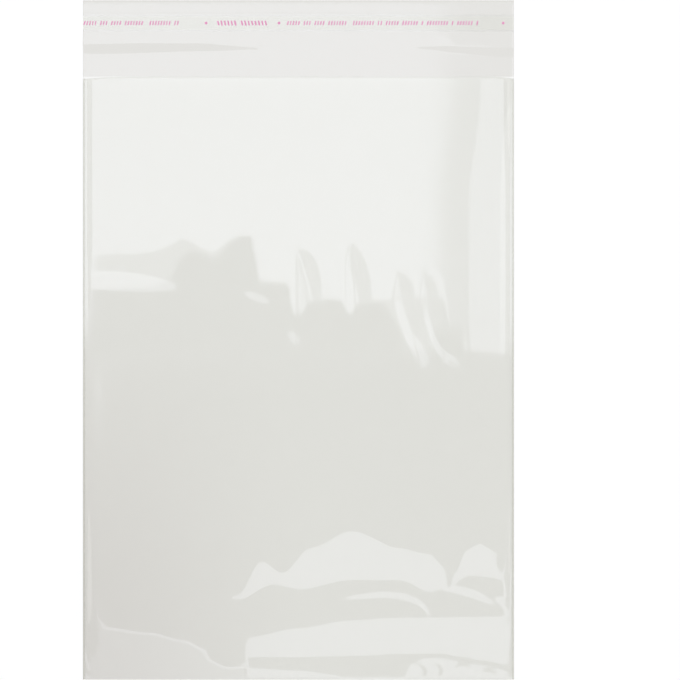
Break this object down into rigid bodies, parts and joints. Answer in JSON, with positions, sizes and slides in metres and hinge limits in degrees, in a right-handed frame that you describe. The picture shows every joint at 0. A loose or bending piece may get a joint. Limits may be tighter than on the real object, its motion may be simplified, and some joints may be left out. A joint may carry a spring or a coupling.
{
  "type": "clear film card sleeve",
  "caption": "Flat clear film sleeve, open at one end, with side seals, a bottom fold and a flap that carries an adhesive strip under a printed release liner.",
  "frame": {"origin": "middle of the sleeve's outline, on the underside of the back panel", "axes": "+X across the sleeve, +Y from the bottom fold to the end of the flap, +Z out of the front panel"},
  "size_m": [0.165, 0.26, 0.0062],
  "materials": {
    "clear_film": "clear glossy polypropylene film",
    "clear_adhesive": "clear pressure-sensitive adhesive",
    "liner_film": "smooth siliconed film",
    "pink_ink": "flexographic ink"
  },
  "bodies": {
    "root": {"sleeve_film": "clear_film", "adhesive_strip": "clear_adhesive", "release_liner": "liner_film", "print_bar_1": "pink_ink", "print_bar_2": "pink_ink", "print_bar_3": "pink_ink", "print_dot_1": "pink_ink", "print_dot_2": "pink_ink", "print_dot_3": "pink_ink"}
  },
  "joints": []
}
